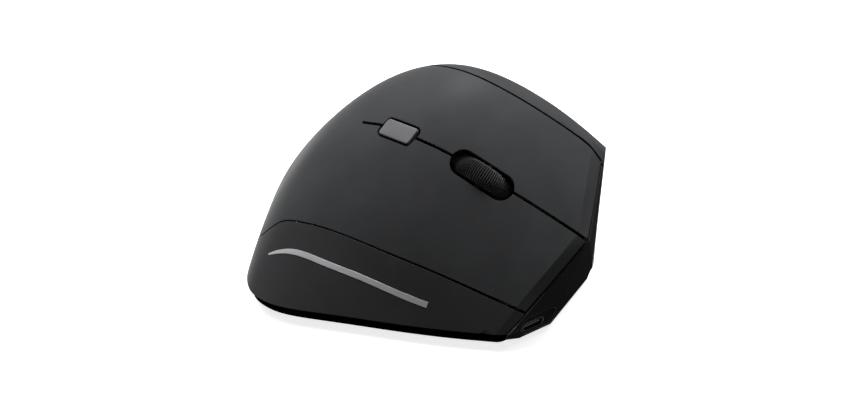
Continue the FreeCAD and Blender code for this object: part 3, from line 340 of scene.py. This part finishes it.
finishes = {
    "body_black": plastic("body_black", (0.045, 0.046, 0.048), rough=0.42, shine=0.035, wear_and_highlight_share=0.0,
                          plain_at=HINGE_Y),
    "panel_black": plastic("panel_black", (0.036, 0.036, 0.038), rough=0.42, shine=0.035,
                           wear_and_highlight_share=0.05),
    # The nose's inlet rim is painted nearly white: a painted highlight.
    "nose_black": plastic("nose_black", (0.06, 0.06, 0.063), shine=0.0, wear_and_highlight_share=1.0,
                          wear_and_highlight_to=(0.9, 0.9, 0.9), painted_highlight_at=INLET),
    "base_black": plastic("base_black", (0.003, 0.003, 0.0033), rough=0.6, shine=0.0, wear_and_highlight_share=0.1),
    "strip_grey": plastic("strip_grey", (0.42, 0.43, 0.44), rough=0.35, shine=0.4,
                          depth=0.000006),
    "button_grey": plastic("button_grey", (0.105, 0.105, 0.11), rough=0.45),
    "wheel_plastic": plastic("wheel_plastic", (0.03, 0.03, 0.032), rough=0.45),
    "glide_grey": plastic("glide_grey", (0.12, 0.12, 0.125), rough=0.3, shine=0.4,
                          depth=0.000004),
    "switch_black": plastic("switch_black", (0.03, 0.03, 0.03), rough=0.4, shine=0.4),
    "plunger_red": plastic("plunger_red", (0.5, 0.06, 0.04), rough=0.4, shine=0.4),
    "frame_grey": plastic("frame_grey", (0.1, 0.1, 0.1), rough=0.55),
    "chip_black": plastic("chip_black", (0.02, 0.02, 0.02), rough=0.6),
}
print("plastics:", sorted(finishes))

# %% [markdown]
# ## Rubber, metal, circuit board and lens
# The tyre's rubber is rougher than plastic, has a faint dusty bloom, which a little sheen gives,
# and its ribs are painted grey along their crests, a painted highlight on the rib tops.  Steel gets
# fine turning marks, from a noise stretched along one way.  A circuit board is green lacquer over
# copper lines, and its lines are the edges of a cell pattern.

# %% Rubber
def rubber(name, colour):
    # The rib crests are painted lighter grey: a painted highlight on the rib tops.
    material = plastic(name, colour, rough=0.72, shine=0.05, grain=0.0002, wear_and_highlight_share=0.9, edge=0.0001,
                       wear_and_highlight_to=(0.075, 0.075, 0.078), crests=True)
    surface = material.node_tree.nodes["Principled BSDF"]
    surface.inputs["Sheen Weight"].default_value = 0.02
    surface.inputs["Sheen Roughness"].default_value = 0.6
    return material


finishes["tyre_rubber"] = rubber("tyre_rubber", (0.006, 0.006, 0.0065))


# %% Metal
def metal(name, colour, rough, stretch):
    material, tree, surface = shader(name)
    turned = add(tree, "ShaderNodeMapping", Scale=stretch)
    marks = add(tree, "ShaderNodeTexNoise", Scale=900.0, Detail=3.0)
    tree.links.new(object_place(tree), turned.inputs["Vector"])
    tree.links.new(turned.outputs[0], marks.inputs["Vector"])
    tree.links.new(blend(tree, marks.outputs[0], [c * 0.85 for c in colour], colour),
                   surface.inputs["Base Color"])
    tree.links.new(spread(tree, marks.outputs[0], 0.3, 0.7, rough, rough + 0.15),
                   surface.inputs["Roughness"])
    surface.inputs["Metallic"].default_value = 1.0
    rounded = add(tree, "ShaderNodeBevel", samples=4, Radius=0.0002)
    bumps(tree, surface, marks.outputs[0], 0.4, 0.00001, rounded.outputs["Normal"])
    return material


finishes["bright_steel"] = metal("bright_steel", (0.56, 0.56, 0.57), 0.25, (1, 1, 0.1))
finishes["connector_steel"] = metal("connector_steel", (0.035, 0.035, 0.037), 0.45, (1, 1, 0.2))
finishes["cell_silver"] = metal("cell_silver", (0.6, 0.6, 0.62), 0.4, (0.15, 1, 1))
finishes["contact_gold"] = metal("contact_gold", (0.75, 0.52, 0.22), 0.25, (1, 1, 1))


# %% Circuit board and lens
def lacquered_board(name):
    material, tree, surface = shader(name)
    cells = add(tree, "ShaderNodeTexVoronoi", feature="DISTANCE_TO_EDGE", Scale=420.0)
    tree.links.new(object_place(tree), cells.inputs["Vector"])
    copper = spread(tree, cells.outputs[0], 0.03, 0.06, 1.0, 0.0)
    tree.links.new(blend(tree, copper, (0.010, 0.085, 0.040), (0.035, 0.170, 0.075)),
                   surface.inputs["Base Color"])
    surface.inputs["Roughness"].default_value = 0.3
    bumps(tree, surface, copper, 0.5, 0.00003)
    return material


def clear_plastic(name):
    material, tree, surface = shader(name)
    flow = add(tree, "ShaderNodeTexNoise", Scale=160.0, Detail=2.0)
    tree.links.new(object_place(tree), flow.inputs["Vector"])
    surface.inputs["Base Color"].default_value = (0.86, 0.84, 0.84, 1)
    surface.inputs["Transmission Weight"].default_value = 0.9
    tree.links.new(spread(tree, flow.outputs[0], 0.3, 0.7, 0.03, 0.12),
                   surface.inputs["Roughness"])
    return material


finishes["board_green"] = lacquered_board("board_green")
finishes["lens_clear"] = clear_plastic("lens_clear")

# %% Every solid takes the finish of its slot
for part in frame["record"]["subparts"]:
    solid = nodes[part["node"]]
    solid.data.materials.clear()
    solid.data.materials.append(finishes[part["material_slot"]])


# %% [markdown]
# ## New pieces
# A finished piece is a mesh whose place is in its points, so that it can ride on the body that
# carries it.  `piece` turns a bmesh into such an object, recalculates its faces outwards, gives
# it its finish, hangs it on the empty of the body that carries it and hides the solid it stands for.

# %% From a bmesh to a piece
def piece(name, bm, finish, body, stands_for=(), smooth=40.0):
    bmesh.ops.remove_doubles(bm, verts=bm.verts, dist=1e-6)
    bmesh.ops.recalc_face_normals(bm, faces=bm.faces)
    mesh = bpy.data.meshes.new(name)
    bm.to_mesh(mesh)
    bm.free()
    made = bpy.data.objects.new(name, mesh)
    scene.collection.objects.link(made)
    mesh.materials.append(finishes[finish])
    mesh.shade_smooth()
    mesh.set_sharp_from_angle(angle=math.radians(smooth))
    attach(made, body)
    if stands_for:
        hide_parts(*stands_for)
    print(name, "faces:", len(mesh.polygons))
    return made


def frame_matrix(origin, x, y, z):
    """Matrix from a piece's own axes to the mouse's."""
    turned = Matrix((x, y, z)).transposed().to_4x4()
    turned.translation = origin
    return turned


# %% [markdown]
# ### The ribbed tyre
# The scroll wheel's tyre has fine ribs across it for grip.  Ninety ribs could be ninety boxes,
# but the tyre is a turned part, so its section is spun once round the axle, and the points of
# its tread are then let down between the ribs.  The ribs run on through both shoulders.

# %% Tyre
RIBS = 90
POINTS_PER_RIB = 4
RIB_DEPTH = 0.0005
GROOVE_FULLNESS = 0.7
TREAD_RADIUS = 0.012
RIM_RADIUS = 0.0098
RIM_WALL = 0.0005
HALF_WIDTH = 0.0035
CROWN = 0.0012
SHOULDER = 0.0002
SECTION_STEPS = 14

axle_way = Vector(joints["wheel_spin"]["axis"]).normalized()
axle_place = Vector(joints["wheel_spin"]["pos_m"])
ahead = Vector((0, 1, 0)).cross(axle_way).cross(axle_way).normalized()
wheel_place = frame_matrix(axle_place, axle_way, ahead, axle_way.cross(ahead))

bm = bmesh.new()
outline = [(-HALF_WIDTH, RIM_RADIUS)]
for i in range(SECTION_STEPS + 1):
    x = -HALF_WIDTH + 2 * HALF_WIDTH * i / SECTION_STEPS
    crown = TREAD_RADIUS - CROWN * (x / HALF_WIDTH) ** 2
    outline.append((x, crown if 0 < i < SECTION_STEPS else crown - SHOULDER))
outline.append((HALF_WIDTH, RIM_RADIUS))
section = [bm.verts.new((x, 0, r)) for x, r in outline]
section_edges = [bm.edges.new(pair) for pair in zip(section, section[1:] + section[:1])]
bmesh.ops.spin(bm, geom=section + section_edges, cent=(0, 0, 0), axis=(1, 0, 0), dvec=(0, 0, 0),
               angle=math.tau, steps=RIBS * POINTS_PER_RIB, use_merge=True)
for vert in bm.verts:
    radius = math.hypot(vert.co.y, vert.co.z)
    if radius < RIM_RADIUS + RIM_WALL:
        continue
    turn = math.atan2(vert.co.y, vert.co.z) * RIBS
    low = (0.5 - 0.5 * math.cos(turn)) ** GROOVE_FULLNESS * RIB_DEPTH
    vert.co.yz = vert.co.yz * ((radius - low) / radius)
bm.transform(wheel_place)
piece("ribbed_tyre", bm, "tyre_rubber", "wheel", ["wheel_tyre"], smooth=70.0)


# %% [markdown]
# ### The resolution button
# A small pill of lighter plastic sits in its slanted window between the keys.  Its outline is a
# leaning block whose four corners and top edge are rounded with bevels, and its top is a little
# crowned, so that the light runs across it.  Its stem stops just above the switch it presses.

# %% Resolution button
BUTTON_PLACE = frame_matrix(Vector((-0.003257, -0.010481, 0.057983)),
                            Vector((0.711872, -0.18924, -0.676333)),
                            Vector((0.244317, 0.969592, -0.01414)),
                            Vector((0.658443, -0.155173, 0.73646)))
CAP_WIDTH, CAP_LENGTH, CAP_THICK = 0.006, 0.0124, 0.003
CAP_SKEW = 0.0013
CAP_PROUD = 0.0003
CORNER_RADIUS = 0.0011
CAP_EDGE_RADIUS = 0.00035
CROWN_RINGS = ((0.85, 0.00005), (0.75, 0.00004), (0.55, 0.00002))
STEM_RADIUS = 0.0014
STEM_TOP, STEM_END = -0.0025, -0.0056


def round_edges(bm, edges, radius, segments):
    bmesh.ops.bevel(bm, geom=edges, offset=radius, offset_type="OFFSET", segments=segments,
                    profile=0.5, affect="EDGES", material=-1)


def top_face(bm):
    return max(bm.faces, key=lambda f: f.calc_center_median().z)


bm = bmesh.new()
bmesh.ops.create_cube(bm, size=1.0)
bmesh.ops.scale(bm, vec=(CAP_WIDTH, CAP_LENGTH, CAP_THICK), verts=bm.verts)
for vert in bm.verts:
    vert.co.y += -CAP_SKEW * vert.co.x / CAP_WIDTH
    vert.co.z += CAP_PROUD - CAP_THICK / 2
upright = [e for e in bm.edges if abs(e.verts[0].co.z - e.verts[1].co.z) > CAP_THICK / 2]
round_edges(bm, upright, CORNER_RADIUS, 6)
round_edges(bm, list(top_face(bm).edges), CAP_EDGE_RADIUS, 3)
top = top_face(bm)
for shrink, rise in CROWN_RINGS:
    raised = bmesh.ops.extrude_face_region(bm, geom=[top])["geom"]
    top = next(f for f in raised if isinstance(f, bmesh.types.BMFace))
    bmesh.ops.scale(bm, verts=top.verts, vec=(shrink, shrink, 1))
    bmesh.ops.translate(bm, verts=top.verts, vec=(0, 0, rise))
stem = bmesh.ops.create_cone(bm, cap_ends=True, segments=24, radius1=STEM_RADIUS,
                             radius2=STEM_RADIUS, depth=STEM_TOP - STEM_END)
bmesh.ops.translate(bm, verts=stem["verts"], vec=(0, 0, (STEM_TOP + STEM_END) / 2))
bm.transform(BUTTON_PLACE)
piece("resolution_cap", bm, "button_grey", "resolution_key", ["dpi_button"])


# %% [markdown]
# ### The thumb buttons
# The two thumb buttons follow the hollow of the side, so their solids already have the right
# crown.  A merged copy of each one gets its rim rounded by a Bevel modifier that only takes the
# sharp edges.

# %% Thumb buttons
THUMB_RIM = 0.0004
THUMB_RIM_ANGLE = math.radians(35.0)


def thumb_cap(name, node, body):
    bm = bmesh.new()
    bm.from_mesh(nodes[node].data)
    bmesh.ops.remove_doubles(bm, verts=bm.verts, dist=2e-6)
    bmesh.ops.dissolve_limit(bm, angle_limit=math.radians(1.0), verts=bm.verts, edges=bm.edges)
    made = piece(name, bm, "button_grey", body, [node], smooth=30.0)
    rim = made.modifiers.new("rounded_edges", "BEVEL")
    rim.width = THUMB_RIM
    rim.segments = 3
    rim.limit_method = "ANGLE"
    rim.angle_limit = THUMB_RIM_ANGLE
    rim.harden_normals = True


thumb_cap("forward_cap", "forward_button", "forward_key")
thumb_cap("back_cap", "back_button", "back_key")


# %% [markdown]
# ### Contacts in the charging socket
# The tongue inside the charging socket carries a row of gilded contacts on each face.  They are
# far too small to model one by one by hand, so one thin plate is made and copied along the row.

# %% Socket contacts
SOCKET_PLACE = frame_matrix(Vector((0.01076, 0.043872, 0.004633)), Vector((0, 0, 1)),
                            Vector((0.878931, -0.47695, 0)), Vector((0.47695, 0.878931, 0)))
CONTACTS_IN_ROW = 12
CONTACT_SIZE = (0.00006, 0.00026, 0.0034)
CONTACT_PITCH = 0.0005
FACE_OF_TONGUE = 0.00036
CONTACT_DEPTH = -0.0026

bm = bmesh.new()
for side in (-1, 1):
    for i in range(CONTACTS_IN_ROW):
        across = (i - (CONTACTS_IN_ROW - 1) / 2) * CONTACT_PITCH
        plate = bmesh.ops.create_cube(bm, size=1.0)["verts"]
        bmesh.ops.scale(bm, vec=CONTACT_SIZE, verts=plate)
        bmesh.ops.translate(bm, verts=plate, vec=(side * FACE_OF_TONGUE, across, CONTACT_DEPTH))
bm.transform(SOCKET_PLACE)
piece("socket_contacts", bm, "contact_gold", "chassis")
